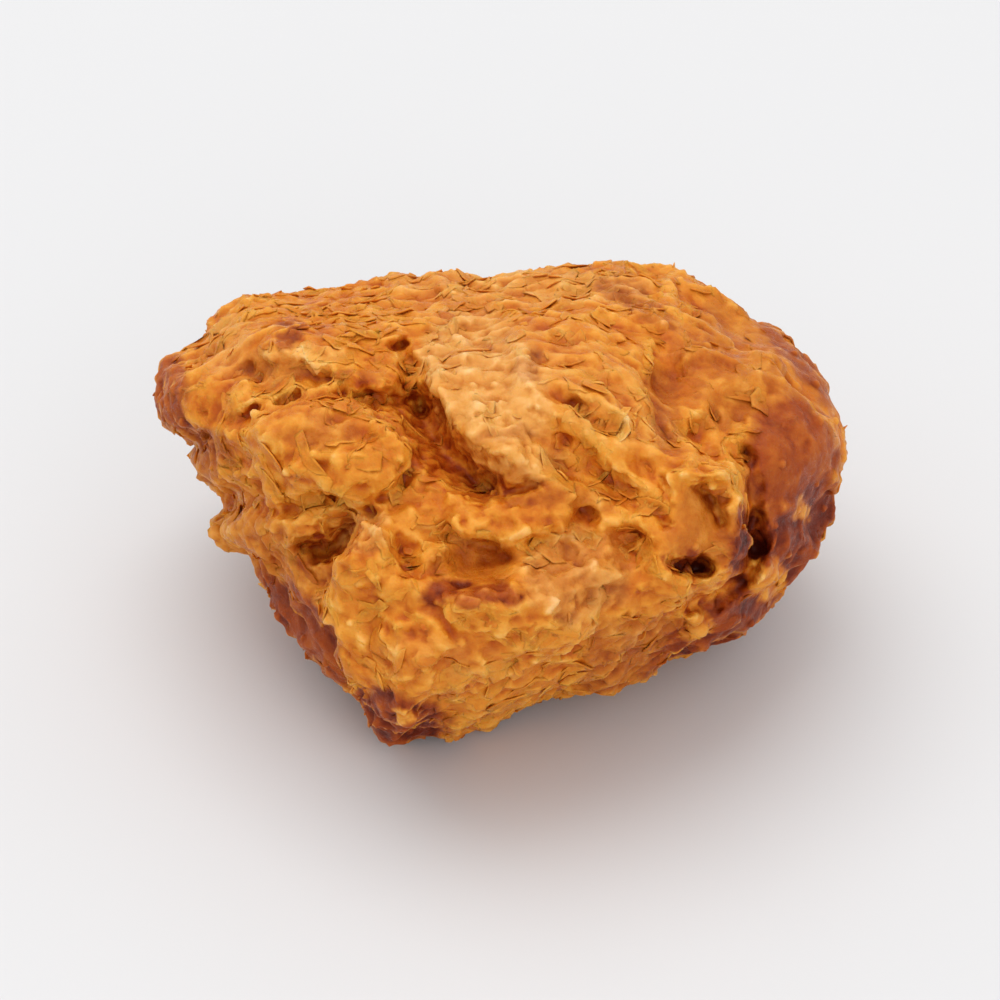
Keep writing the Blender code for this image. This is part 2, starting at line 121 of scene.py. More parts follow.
# Torn edges, with the flap on the left of the way: its height, how far it reaches, the dip beside
# it, and how far the edge leans out where that isn't the usual.
FLAPS = {
    "top roll": (
        [(560, 560), (575, 561), (590, 563), (602, 567), (614, 574), (626, 572), (635, 560)],
        1.6, 3.0, 0.4,
    ),
    "roll's left end": ([(534, 547), (537, 556), (540, 565)], 1.2, 2.4, 0.8),
    "slab": ([(555, 589), (572, 581), (590, 575), (605, 574), (614, 580), (624, 584)], 1.9, 2.2, 1.5),
    "left lobe's top": (
        [(642, 612), (640, 598), (630, 591), (617, 583), (602, 576), (588, 580), (572, 590), (560, 601)],
        2.3, 3.2, 0.8,
    ),
    "left lobe's foot": (
        [(558, 632), (575, 629), (590, 623), (606, 621), (620, 625), (634, 620), (642, 611), (642, 602)],
        2.0, 3.2, 1.2,
    ),
    "plate under the lobe": ([(564, 643), (580, 639), (596, 636), (612, 631), (624, 625)],
                             1.2, 1.8, 1.4),
    "apron": (
        [(630, 630), (619, 633), (614, 645), (606, 660), (598, 671), (608, 684), (611, 698), (616, 714),
         (617, 728), (622, 743)],
        4.6, 6.0, 1.2, 0.7,
    ),
    "left foot": ([(550, 655), (566, 664), (580, 676), (594, 682), (608, 680)], 1.8, 3.2, 1.0),
    "nose": (
        [(642, 550), (641, 560), (646, 573), (648, 584), (653, 592), (659, 603), (668, 611), (690, 621)],
        1.9, 3.6, 0.6, 0.1,
    ),
    "wrinkle on the nose": ([(664, 599), (676, 597), (690, 596), (700, 603)], 0.6, 2.0, 0.9),
    "chips over the mouth": ([(652, 637), (664, 643), (676, 648), (688, 651), (694, 642), (698, 632)],
                             2.0, 1.8, 0.4),
    "chips beside the mouth": ([(694, 640), (702, 646), (711, 643), (714, 632), (717, 620)],
                               1.8, 1.8, 0.8),
    "mouth's right corner": ([(698, 644), (690, 652), (690, 664)], 0.6, 2.4, 0.2),
    "pocket": ([(738, 670), (756, 671), (772, 670), (789, 665), (797, 652), (797, 636), (791, 618)],
               1.4, 2.0, 0.6),
    "apron's right foot": ([(733, 708), (746, 698), (753, 685), (762, 675), (776, 668)], 1.8, 3.2, 1.0),
    "skin over the right end": (
        [(843, 624), (838, 604), (829, 583), (815, 563), (803, 551), (788, 545), (777, 534), (768, 519)],
        1.4, 3.0, 0.5,
    ),
    "right of the apron": ([(690, 664), (688, 676), (692, 690), (700, 702)], 0.9, 3.2, 0.5),
}
# Rounded ridges, and soft valleys where the height is below 0: the way, the width and the height.
STRANDS = {
    "mouth's lower lip": ([(640, 650), (650, 663), (666, 673), (684, 672), (696, 660)], 1.5, 2.6),
    "pocket's rim": (
        [(752, 613), (772, 612), (788, 619), (794, 634), (793, 652), (787, 663), (774, 668)],
        1.2, 1.8,
    ),
    "valley before the right end": ([(760, 550), (759, 574), (764, 594), (784, 610)], 2.2, -1.9),
    "crease on the right end": ([(764, 600), (778, 592), (792, 580), (815, 573)], 1.0, -1.0),
    "strand 1": ([(656, 532), (684, 531), (704, 534), (722, 543)], 1.1, 1.2),
    "strand 2": ([(668, 540), (700, 547), (728, 558), (750, 578), (760, 598)], 0.9, 1.7),
    "strand 3": ([(686, 553), (712, 564), (732, 579), (748, 596)], 0.8, 1.5),
    "strand 4": ([(696, 563), (722, 574), (744, 590), (762, 606)], 0.8, 1.6),
    "strand 5": ([(694, 576), (716, 587), (742, 602), (764, 612), (788, 619)], 0.9, 1.7),
    "strand 6": ([(700, 590), (722, 601), (740, 613), (754, 626)], 0.8, 1.7),
    "strand 7": ([(698, 612), (713, 620), (728, 628), (741, 637), (751, 650)], 1.0, 1.6),
    "layer 1": ([(546, 636), (570, 640), (590, 646)], 0.9, 0.8),
    "layer 2": ([(548, 648), (572, 655), (598, 663)], 0.9, 1.0),
    "layer 3": ([(560, 660), (578, 668), (600, 674)], 0.9, 0.8),
    "wrinkle on the lobe": ([(560, 608), (590, 612), (625, 608)], 0.9, 1.1),
    "wrinkle on the slab": ([(552, 574), (580, 571), (606, 576)], 0.9, 1.0),
    "wrinkle 1 on the apron": ([(620, 668), (645, 672), (668, 682), (692, 688)], 1.1, 0.6),
    "wrinkle 2 on the apron": ([(640, 712), (670, 706), (698, 700)], 1.1, 0.5),
}


def eased(share):
    """0 to 1 with a soft start and end."""
    share = np.clip(share, 0, 1)
    return share * share * (3 - 2 * share)


def unit_rows(rows):
    return rows / np.maximum(np.linalg.norm(rows, axis=1), 1e-9)[:, None]


class View:
    """A direction to look from. across, up and near are its picture's axes."""

    def __init__(self, azimuth, looks_down):
        a = math.radians(azimuth)
        sine, cosine = math.sin(looks_down), math.cos(looks_down)
        self.across = np.array([math.cos(a), math.sin(a), 0.0])
        self.up = np.array([-math.sin(a) * sine, math.cos(a) * sine, cosine])
        self.near = np.array([math.sin(a) * cosine, -math.cos(a) * cosine, sine])

    def back_to_frame(self, u, v, near):
        return np.outer(u, self.across) + np.outer(v, self.up) + np.outer(near, self.near)


PHOTO = View(0, PHOTO_LOOKS_DOWN)


def photo_mm(pixels):
    """Pixels of the photograph as millimetres from the piece's middle, in its picture."""
    x, y = np.array(pixels, float).T
    return np.stack([x - PHOTO_MIDDLE[0], PHOTO_MIDDLE[1] - y], axis=-1) * PIXEL_MM


def rounded_outline(points, steps=12):
    """A closed smooth curve through the points, as angles and radii round the middle."""
    share = np.linspace(0, 1, steps, endpoint=False)[:, None]
    curve = []
    for i in range(len(points)):
        a, b, c, d = (points[(i + k) % len(points)] for k in (-1, 0, 1, 2))
        square = (2 * a - 5 * b + 4 * c - d) * share**2
        cube = (3 * b - a - 3 * c + d) * share**3
        curve.append(0.5 * (2 * b + (c - a) * share + square + cube))
    curve = np.concatenate(curve)
    angle = np.arctan2(curve[:, 1], curve[:, 0])
    order = np.argsort(angle)
    return angle[order], np.hypot(curve[:, 0], curve[:, 1])[order]


def oval(u, v, middle, radii, turn):
    """1 in the middle of an oval, and 0 from its rim outwards."""
    du, dv = u - middle[0], v - middle[1]
    c, s = math.cos(math.radians(turn)), math.sin(math.radians(turn))
    a = (du * c + dv * s) / radii[0]
    b = (dv * c - du * s) / radii[1]
    return np.clip(1 - a * a - b * b, 0, 1)


class Relief:
    """What is drawn in one view's picture, on points at (u, v) millimetres of it.

    rise is how far each point comes nearer, and shift is how far it moves across the picture.
    """

    def __init__(self, u, v):
        self.u, self.v = u, v
        self.rise = np.zeros(len(u))
        self.shift = np.zeros((len(u), 2))

    def swelling(self, middle, radii, turn, height, roundness=1.0):
        """A mound, or a hollow."""
        self.rise += height * oval(self.u, self.v, middle, radii, turn) ** roundness

    def along(self, way):
        """Distance to a way, its side, the direction to it, and the share of the way covered."""
        way = np.array(way, float)
        distance = np.full(len(self.u), np.inf)
        side, share = np.zeros(len(self.u)), np.zeros(len(self.u))
        towards = np.zeros((len(self.u), 2))
        lengths = np.hypot(*(way[1:] - way[:-1]).T)
        done = 0.0
        for start, end, length in zip(way[:-1], way[1:], lengths):
            du, dv = (end - start) / length
            a, b = self.u - start[0], self.v - start[1]
            run = np.clip(a * du + b * dv, 0, length)
            gap = np.stack([run * du - a, run * dv - b], axis=-1)
            gap_length = np.hypot(*gap.T)
            nearer = gap_length < distance
            distance[nearer] = gap_length[nearer]
            side[nearer] = np.sign(du * b - dv * a)[nearer]
            share[nearer] = ((done + run) / lengths.sum())[nearer]
            towards[nearer] = gap[nearer]
            done += length
        return distance, side, towards / np.maximum(distance, 1e-6)[:, None], share

    def strand(self, way, width, height, ends=0.15):
        """A rounded ridge, or a soft valley."""
        distance, _, _, share = self.along(way)
        fade = eased(np.minimum(share, 1 - share) / ends)
        self.rise += height * np.exp(-((distance / width) ** 2)) * fade

    def crack(self, way, width, depth, ends=0.12):
        """A cut with steep sides."""
        distance, _, _, share = self.along(way)
        fade = eased(np.minimum(share, 1 - share) / ends)
        self.rise -= depth * np.clip(1 - distance / width, 0, 1) ** 0.7 * fade

    def flap(self, way, height, reach, dip, lean=0.35, edge=0.4, ends=0.12):
        """A flap's torn edge. The flap is on the left of the way."""
        distance, side, towards, share = self.along(way)
        fade = eased(np.minimum(share, 1 - share) / ends)
        inward = distance * side
        on_flap = eased((inward + edge) / (2 * edge))
        raised = height * on_flap * np.exp(-((np.maximum(inward, 0) / reach) ** 2))
        dipped = dip * (1 - on_flap) * np.exp(-((np.minimum(inward, 0) / (reach / 2)) ** 2))
        self.rise += (raised - dipped) * fade
        leaning = lean * on_flap * np.exp(-((inward / 1.5) ** 2)) * fade * np.sign(inward)
        self.shift += towards * leaning[:, None]


def draw_ovals(relief, ovals):
    for middle, radii, turn, height, *roundness in ovals.values():
        relief.swelling(photo_mm([middle])[0], np.array(radii) * PIXEL_MM, turn, height, *roundness)


def draw_front(relief):
    """The side that the photograph shows."""
    draw_ovals(relief, SWELLINGS)
    for way, *sizes in FLAPS.values():
        relief.flap(photo_mm(way), *sizes)
    for way, width, height in STRANDS.values():
        relief.strand(photo_mm(way), width, height)


def carve_front(relief):
    """The splits and holes in that side."""
    draw_ovals(relief, HOLLOWS)
    for way, width, depth in CRACKS.values():
        relief.crack(photo_mm(way), width, depth)


def draw_back(relief):
    """Behind, in millimetres of that view: two lobes with a split between them, and strands."""
    relief.swelling((13, 5), (17, 13), 10, 2.4)
    relief.swelling((-15, 3), (15, 15), -10, 3.0)
    relief.swelling((2, -9), (14, 8), 0, 2.0)
    split = [(-4.0, -2), (-3, -5), (3, -7), (10, -6)]
    right_of_split = [(-2.0, -1), (-3, -3), (-1, -5), (4, -6)]
    low_flap = [(-16.0, -9), (-4, -9), (4, -4), (12, -3), (20, -5), (26, -3)]
    left_flap = [(-27.0, 0), (-22, -2), (-17, -2), (-13, -1)]
    relief.crack(split, 2.0, 3.2)
    relief.flap(right_of_split, 1.6, 4.0, 0.8)
    relief.flap(low_flap, 2.2, 5.0, 1.2)
    relief.flap(left_flap, 1.8, 4.0, 1.0)
    relief.swelling((-7, -4), (3.4, 2.4), 30, -3.0, 0.7)
    for step in range(4):
        x = 4 + 4 * step
        relief.strand([(x, 7 - 1.3 * step), (x + 5, 2 - 1.3 * step), (x + 7, -3)], 0.9, 0.8)
    relief.strand([(-24.0, 4), (-18, 5), (-13, 8)], 1.0, 1.0)
    relief.strand([(-20.0, -5), (-12, -4), (-6, -7)], 0.9, 0.9)


def draw_left(relief):
    """The left end, in millimetres of that view: torn layers and a notch."""
    relief.swelling((6, 3), (9, 8), 0, 1.8)
    relief.swelling((-9, -3), (9, 6), 0, 1.6)
    upper_layer = [(-17.0, 3), (-13, 2), (-9, 2), (-5, 5)]
    lower_layer = [(-10.0, -9), (-2, -8), (6, -9), (13, -9)]
    relief.flap(upper_layer, 1.6, 3.0, 0.8)
    relief.flap(lower_layer, 1.6, 3.0, 1.0)
    relief.swelling((-8, -2), (2.6, 2.0), 0, -1.6, 0.7)


def draw_right(relief):
    """The right end, in millimetres of that view: a smooth dome with edges of crust round it."""
    upper_edge = [(-16.0, 6), (-8, 8), (1, 9), (10, 6), (16, 0)]
    lower_edge = [(-12.0, -6), (-3, -7), (6, -5), (14, -6)]
    relief.flap(upper_edge, 1.2, 3.0, 0.6)
    relief.flap(lower_edge, 1.4, 3.0, 0.8)
    relief.swelling((-3, 1), (10, 6), 10, 1.0)
    relief.strand([(-10.0, 3), (-2, 4), (7, 2)], 0.9, 0.7)
    relief.swelling((8, -1), (2.4, 1.8), 20, -1.6, 0.7)


def draw_under(relief):
    """The underside, in millimetres of that view: a seam where the meat folds, and two flaps."""
    seam = [(-18.0, -4), (-8, 0), (2, -3), (12, 2), (20, 1)]
    near_flap = [(-20.0, 9), (-8, 11), (4, 8), (16, 11)]
    far_flap = [(18.0, -12), (6, -14), (-6, -11), (-16, -13)]
    relief.crack(seam, 1.8, 2.0)
    relief.flap(near_flap, 1.4, 3.0, 0.8)
    relief.flap(far_flap, 1.4, 3.0, 0.8)


# Each side's view, with its turn and how far it looks down.
SIDES = (
    (PHOTO, draw_front),
    (View(180, math.radians(25)), draw_back),
    (View(-90, math.radians(10)), draw_left),
    (View(90, math.radians(10)), draw_right),
    (View(0, math.radians(-75)), draw_under),
)


def plain_form(ball):
    """Points and normals of the piece without relief, from points on a ball of radius 1."""
    x, y, z = ball.T
    fuller = (np.hypot(x, y) ** FULLNESS + np.abs(z) ** FULLNESS) ** (-1 / FULLNESS)
    halves = np.array([LENGTH, DEPTH, ROUND_HEIGHT]) / 2
    points = ball * np.where(z < 0, fuller, 1.0)[:, None] * halves
    return points, unit_rows(ball / halves)


def fitted_to_outline(points, from_share=0.0, softened=0):
    """In the photograph's picture, the rim moves out or in to the real outline."""
    u, v, near = points @ PHOTO.across, points @ PHOTO.up, points @ PHOTO.near
    angle, radius = np.arctan2(v, u), np.hypot(u, v)
    sectors = 120
    moves_in_full = 0.95
    sector = ((angle + math.pi) / (2 * math.pi) * sectors).astype(int) % sectors
    widest = np.zeros(sectors)
    np.maximum.at(widest, sector, radius)
    sector_angles = (np.arange(sectors) + 0.5) / sectors * 2 * math.pi - math.pi
    wanted = np.interp(sector_angles, *rounded_outline(photo_mm(OUTLINE)), period=2 * math.pi)
    ratio = wanted / widest
    for _ in range(softened):
        ratio = 0.5 * ratio + 0.25 * (np.roll(ratio, 1) + np.roll(ratio, -1))
    rim = np.interp(angle, sector_angles, widest, period=2 * math.pi)
    stretch = np.interp(angle, sector_angles, ratio, period=2 * math.pi) - 1
    stretch = 1 + stretch * eased((radius / rim - from_share) / (moves_in_full - from_share))
    return PHOTO.back_to_frame(u * stretch, v * stretch, near)


def waves(points, size, strength, place):
    """Uneven bumps of about this size in millimetres, all over."""
    away = Vector((place, 2 * place, -place))
    return np.array([noise.noise(Vector(p) / size + away) for p in points]) * strength


def side_shares(normals):
    """How much each side's drawing counts at each point."""
    left = np.ones(len(normals))
    shares = []
    for view, _ in SIDES:
        share = eased((normals @ view.near + 0.05) / 0.45) * left
        left = left * (1 - share)
        shares.append(share)
    return shares


def crust_points(ball):
    """The large forms in millimetres, from points on a ball of radius 1."""
    points, normals = plain_form(ball)
    points = fitted_to_outline(points)
    ragged = [waves(points, 3.3, 1.1, 3 + k) + waves(points, 1.3, 0.5, 9 + k) for k in range(2)]
    moved = np.zeros(points.shape)
    for (view, draw), share in zip(SIDES, side_shares(normals)):
        relief = Relief(points @ view.across + ragged[0], points @ view.up + ragged[1])
        draw(relief)
        moved += share[:, None] * view.back_to_frame(*relief.shift.T, relief.rise)
    moved += normals * (waves(points, 9, 0.8, 21) + waves(points, 3.5, 0.5, 27))[:, None]
    points = fitted_to_outline(points + moved)
    points[:, 2] = np.maximum(points[:, 2] + MIDDLE_HEIGHT, 0)
    return points


def read_points(mesh):
    flat = np.empty(len(mesh.vertices) * 3, np.float32)
    mesh.vertices.foreach_get("co", flat)
    return flat.reshape(-1, 3).astype(float) / MM


def write_points(mesh, points):
    mesh.vertices.foreach_set("co", (points * MM).astype(np.float32).ravel())
    mesh.update()


def apply_modifier(piece, kind, **settings):
    modifier = piece.modifiers.new(kind.lower(), kind)
    for name, value in settings.items():
        setattr(modifier, name, value)
    bpy.context.view_layer.objects.active = piece
    bpy.ops.object.modifier_apply(modifier=modifier.name)


def keep_outer_skin(mesh):
    """Fills what fusing has sealed inside, and drops loose scraps: the largest skin stays."""
    body = bmesh.new()
    body.from_mesh(mesh)
    left = set(body.verts)
    skin = set()
    while left:
        start = left.pop()
        found, rim = {start}, [start]
        while rim:
            for edge in rim.pop().link_edges:
                for other in edge.verts:
                    if other in left:
                        left.discard(other)
                        found.add(other)
                        rim.append(other)
        skin = max(skin, found, key=len)
    bmesh.ops.delete(body, geom=[v for v in body.verts if v not in skin], context="VERTS")
    body.to_mesh(mesh)
    body.free()


def set_as_one(piece, grain):
    """Everything that crosses becomes one closed skin, of faces of this size."""
    apply_modifier(piece, "REMESH", mode="VOXEL", voxel_size=grain * MM)
    keep_outer_skin(piece.data)


bpy.ops.object.select_all(action="DESELECT")
bpy.ops.mesh.primitive_ico_sphere_add(subdivisions=8, radius=MM)
crust = bpy.context.object
crust.name = "crust"
write_points(crust.data, crust_points(read_points(crust.data)))
set_as_one(crust, FORM_GRAIN)

# The piece stands with the middle of its box over the origin, as the CAD solid does.
points = read_points(crust.data)
points -= [*(points.min(axis=0) + points.max(axis=0))[:2] / 2, points[:, 2].min()]
piece_shift = points[0] - read_points(crust.data)[0]


class Skin:
    """The crust's mesh as arrays, with what sculpting needs to know of it."""

    def __init__(self, mesh, points):
        self.points = points
        ends = np.empty(len(mesh.edges) * 2, np.int32)
        mesh.edges.foreach_get("vertices", ends)
        self.ends = ends.reshape(-1, 2)
        self.degree = np.bincount(ends, minlength=len(points)).astype(float)
        corners = np.empty(len(mesh.loops), np.int32)
        mesh.loops.foreach_get("vertex_index", corners)
        self.quads = corners.reshape(-1, 4)

    def normals(self):
        a, b, c, d = (self.points[self.quads[:, k]] for k in range(4))
        across = np.cross(c - a, d - b)
        total = np.zeros(self.points.shape)
        for k in range(4):
            for axis in range(3):
                total[:, axis] += np.bincount(
                    self.quads[:, k], weights=across[:, axis], minlength=len(self.points)
                )
        return unit_rows(total)

    def smoothed(self, values, rounds):
        """Each point's value averaged with its neighbours', over and over."""
        values = np.array(values, float)
        columns = values.reshape(len(values), -1)
        a, b = self.ends.T
        for _ in range(rounds):
            for k in range(columns.shape[1]):
                column = columns[:, k]
                around = np.bincount(a, weights=column[b], minlength=len(column))
                around += np.bincount(b, weights=column[a], minlength=len(column))
                columns[:, k] = 0.5 * column + 0.5 * around / self.degree
        return values


skin = Skin(crust.data, points)


def cell_numbers(cell, seed):
    """A random whole number for each cell of a lattice."""
    x, y, z = cell.T
    mixed = (x * 73856093) ^ (y * 19349663) ^ (z * 83492791) ^ (seed * 2654435)
    mixed = (mixed ^ (mixed >> 13)) * 1274126177
    return mixed ^ (mixed >> 16)


def lattice(points, size, seed):
    """Smooth random values, mostly from -1 to 1, with bumps of about this size in millimetres."""
    directions = unit_rows(np.random.default_rng(7).normal(size=(256, 3)))
    place = points / size + seed * 17.31
    cell = np.floor(place).astype(np.int64)
    inside = place - cell
    fade = inside**3 * (inside * (inside * 6 - 15) + 10)
    total = np.zeros(len(points))
    for dx in (0, 1):
        for dy in (0, 1):
            for dz in (0, 1):
                pull = directions[cell_numbers(cell + (dx, dy, dz), seed) & 255]
                dot = (pull * (inside - (dx, dy, dz))).sum(axis=1)
                weight = np.ones(len(points))
                for k, d in enumerate((dx, dy, dz)):
                    weight *= fade[:, k] if d else 1 - fade[:, k]
                total += weight * dot
    return total * 1.6


# Which way the crust's wrinkles run, in degrees from level in the photograph.
RUNS = {
    (560, 552): 22, (600, 536): 8, (640, 528): -4, (590, 572): 6, (590, 600): 12,
    (622, 600): 24, (575, 620): 14, (525, 577): 76, (570, 650): -14, (585, 700): -50,
    (664, 568): -58, (684, 602): -25, (700, 538): -18, (720, 568): -34, (745, 600): -38,
    (720, 622): -30, (758, 566): -62, (792, 560): 24, (815, 605): 82, (772, 640): -50,
    (650, 680): -12, (670, 702): -22, (660, 722): 6, (720, 692): 34, (715, 664): 42,
    (800, 682): 40, (635, 736): 0, (668, 652): 0, (680, 632): 20, (830, 570): -60,
}


def faces_photo(normals):
    """1 where the surface faces the photograph, and 0 on the sides that it doesn't show."""
    return eased((normals @ PHOTO.near + 0.1) / 0.4)


def wrinkle_directions(points, normals):
    """The way that the crust's wrinkles run at each point, along the surface."""
    u, v = points @ PHOTO.across, points @ PHOTO.up - middle_up
    cosine, sine, total = (np.zeros(len(points)) for _ in range(3))
    for pixel, degrees in RUNS.items():
        middle = photo_mm([pixel])[0]
        weight = 1 / ((u - middle[0]) ** 2 + (v - middle[1]) ** 2 + 1.0) ** 2
        cosine += weight * math.cos(math.radians(2 * degrees))
        sine += weight * math.sin(math.radians(2 * degrees))
        total += weight
    turn = np.arctan2(sine, cosine) / 2
    front = np.outer(np.cos(turn), PHOTO.across) + np.outer(np.sin(turn), PHOTO.up)
    level = np.cross(normals, (0.0, 0.0, 1.0))
    swirl = lattice(points, 14.0, 3) * 1.2
    round_back = level * np.cos(swirl)[:, None] + np.cross(normals, level) * np.sin(swirl)[:, None]
    facing = faces_photo(normals)[:, None]
    way = front * facing + round_back * (1 - facing)
    way -= normals * (way * normals).sum(axis=1)[:, None]
    return unit_rows(way)


# Where the photograph's middle lies on the piece as it stands.
lifted = piece_shift + (0, 0, MIDDLE_HEIGHT)
middle_up = lifted @ PHOTO.up
normals = unit_rows(skin.smoothed(skin.normals(), 12))
way = wrinkle_directions(points, normals)


def drawn_out(points, way, size, reach, seed, taps=7):
    """Bumps of this size, drawn out along the wrinkles by this reach."""
    total = np.zeros(len(points))
    for k in np.linspace(-1, 1, taps):
        total += lattice(points + way * (k * reach), size, seed) * (1 - 0.5 * k * k)
    return total / math.sqrt(taps) / 0.62


def jostled(points, size, seed, amount):
    """The points moved about by up to this much, so that what is laid on them isn't regular."""
    return points + np.stack([lattice(points, size, seed + k) for k in range(3)], axis=1) * amount


def plates(points, way, size, seed, drawn=1.6):
    """Plates of about this size, drawn out along the wrinkles: each one's tilt as a height, and
    its tone from -1 to 1."""
    rng = np.random.default_rng(seed)
    spots, tilts = rng.random((1024, 3)), unit_rows(rng.normal(size=(1024, 3)))
    tones = rng.uniform(-1, 1, 1024)
    place = points / size
    cell = np.floor(place).astype(np.int64)
    nearest = np.full(len(points), np.inf)
    height, tone = np.zeros(len(points)), np.zeros(len(points))
    for step in np.ndindex(3, 3, 3):
        at = cell + np.array(step) - 1
        number = cell_numbers(at, seed) & 1023
        away = at + spots[number] - place
        along = (away * way).sum(axis=1)
        distance = (away * away).sum(axis=1) - (1 - drawn**-2) * along**2
        closer = distance < nearest
        nearest[closer] = distance[closer]
        height[closer] = (tilts[number] * away).sum(axis=1)[closer] * size
        tone[closer] = tones[number][closer]
    return height, tone


# Where the crust is smooth, lumpy, or drawn out: middle, radii and turn, in the photograph, and
# how much where that isn't 1.
SMOOTH = {
    "right end": ((816, 608), (26, 42), 8, 1.0),
    "upper right": ((788, 560), (36, 34), 0, 0.5),
    "rim at the right": ((834, 580), (44, 18), -70, 0.9),
    "rim at the top right": ((800, 540), (54, 16), -36, 0.85),
    "inside the pocket": ((770, 640), (18, 20), 10, 1.0),
    "valley": ((759, 580), (9, 26), 0, 0.9),
    "mouth": ((670, 658), (24, 14), 5, 0.9),
    "lower right": ((804, 672), (40, 16), 40, 0.8),
    "underside at the left": ((586, 694), (24, 36), 30, 0.7),
    "left lobe": ((590, 600), (44, 22), 6, 0.4),
    "roll's left end": ((552, 552), (18, 14), 0, 0.5),
    "strands": ((736, 578), (54, 30), -36, 0.35),
}
LUMPY = {
    "nose": ((676, 574), (30, 44), 35),
    "nose's foot": ((684, 606), (26, 16), -10),
    "left nub": ((527, 577), (16, 24), 0),
    "grey lobe": ((714, 668), (34, 26), 10),
    "chips": ((690, 632), (44, 20), 0),
}
DRAWN_OUT = {"strands": ((728, 590), (66, 46), -36), "roll": ((600, 536), (70, 20), 2)}
# How far the fryer has browned it, and painted shade put in the same way: in the holes, pits,
# creases, valleys, the mouth and between the chips, under the roll, the nub and the wrinkle on
# the nose, and on the left underside. The last number is how much.
BROWNED_AND_SHADED = {
    "right end": ((818, 612), (28, 42), 10, 0.9),
    "right end, low": ((828, 648), (32, 30), 0, 1.0),
    "right foot": ((792, 686), (60, 20), 32, 1.0),
    "behind the pocket": ((799, 654), (15, 28), 10, 1.0),
    "upper right": ((790, 560), (34, 34), 0, 0.35),
    "grey lobe": ((716, 664), (30, 22), 10, 0.3),
    "right of the apron": ((744, 700), (34, 18), 32, 0.55),
    "bottom tip": ((630, 732), (32, 20), -10, 1.0),
    "left underside": ((582, 694), (26, 46), 35, 1.0),
    "left nub": ((523, 580), (16, 30), 0, 0.85),
    "under the nub": ((540, 606), (18, 16), 0, 0.55),
    "layers": ((572, 652), (42, 20), -15, 0.35),
    "spot on the roll": ((584, 551), (8, 9), 20, 0.75),
    "patch on the lobe": ((598, 596), (26, 10), 5, 0.35),
    "pit on the nose": ((694, 566), (9, 9), 0, 0.45),
    "pocket's lower hole": ((768, 657), (14, 7), -8, 1.0),
    "roll's shadow": ((592, 568), (44, 5), -4, 0.3),
    "wrinkle on the nose": ((682, 598), (22, 5), 5, 0.4),
    "mouth": ((668, 656), (24, 13), 5, 0.35),
    "lower lip": ((670, 669), (26, 8), 0, 0.95),
    "pocket": ((772, 640), (20, 24), 0, 0.45),
    "streak at the top": ((746, 534), (30, 8), -35, 0.5),
    "crease on the right end": ((796, 584), (32, 8), 20, 0.45),
    "valley": ((757, 584), (10, 28), 5, 0.4),
    "rim at the top right": ((822, 556), (42, 10), -52, 0.75),
    "between the chips": ((700, 622), (50, 10), -10, 0.3),
    "apron's pink patch": ((735, 690), (18, 12), 20, 0.4),
}
# Where it is darkest: partly dark browning of the low parts, and partly painted shade on the
# undersides and in the pocket's lower hole. And where chips of crust lie.
DARK_AND_SHADED = {
    "right end, low": ((830, 650), (26, 34), 10, 1.0),
    "right foot": ((790, 690), (46, 15), 32, 0.9),
    "behind the pocket": ((799, 654), (12, 24), 10, 0.9),
    "bottom tip": ((632, 732), (28, 17), -10, 1.0),
    "left underside": ((580, 700), (16, 40), 35, 0.35),
    "pocket's lower hole": ((768, 657), (13, 6), -8, 1.0),
}
CHIPS = {
    "over the mouth": ((680, 632), (42, 12), 0),
    "on the apron's left edge": ((612, 676), (9, 40), 12),
    "below the left lobe": ((628, 610), (20, 8), 30),
    "crumb": ((806, 665), (9, 8), -30),
}
# Crumbs and beads of flour baked on there, which stay golden.
GOLDEN = {
    "crumb": ((806, 665), (13, 12), -30, 1.0),
    "bead under the pocket": ((772, 686), (8, 8), 0, 0.8),
    "bead on the right end": ((823, 633), (6, 6), 0, 0.9),
    "bead on the bottom tip": ((638, 726), (7, 6), 0, 0.9),
}
# Where flour is left pale.
FLOURED = {
    "nose": ((676, 572), (30, 46), 35, 0.75),
    "strands": ((722, 574), (60, 24), -36, 0.25),
    "nose's foot": ((686, 606), (26, 15), -10, 0.45),
    "grey lobe": ((716, 662), (32, 26), 10, 0.45),
    "bead on the right end": ((823, 633), (6, 6), 0, 0.6),
    "top": ((690, 524), (80, 13), -2, 0.4),
    "slab": ((578, 564), (38, 9), 8, 0.35),
    "roll's left end": ((552, 552), (15, 15), 0, 0.4),
    "apron's corner": ((618, 642), (16, 12), 30, 0.5),
    "apron": ((650, 700), (40, 14), 0, 0.2),
}


def in_photo(points):
    """Where points lie in the photograph's picture, in millimetres from the piece's middle."""
    return points @ PHOTO.across - piece_shift @ PHOTO.across, points @ PHOTO.up - middle_up


def patches(places, points, facing):
    """How much each point is in the patches: 1 in their middles, 0 outside."""
    u, v = in_photo(points)
    ragged_u, ragged_v = (
        0.9 * lattice(points, 2.6, 80 + k) + 0.4 * lattice(points, 1.0, 82 + k) for k in (0, 1)
    )
    total = np.zeros(len(points))
    for middle, radii, turn, *amount in places.values():
        radii = np.array(radii) * PIXEL_MM
        spot = oval(u + ragged_u, v + ragged_v, photo_mm([middle])[0], radii, turn)
        total = np.maximum(total, eased(spot * 1.8) * (amount[0] if amount else 1.0))
    return total * facing


def browning_and_painted_shade(points, facing):
    """How far each point is browned, and where shade is painted in as browning. The sides that the
    photograph doesn't show are darkened in patches, and more near the foot."""
    near_foot = 12.0
    low = eased((near_foot - points[:, 2]) / near_foot)
    uneven = lattice(points, 9.0, 90) + 0.5 * lattice(points, 4.0, 91)
    unseen = np.clip(0.25 + 0.45 * low + 0.55 * uneven, 0, 1) * (1 - facing)
    return np.maximum(patches(BROWNED_AND_SHADED, points, facing), unseen)


facing = faces_photo(normals)
smooth = patches(SMOOTH, points, facing)
lumpy = patches(LUMPY, points, facing)

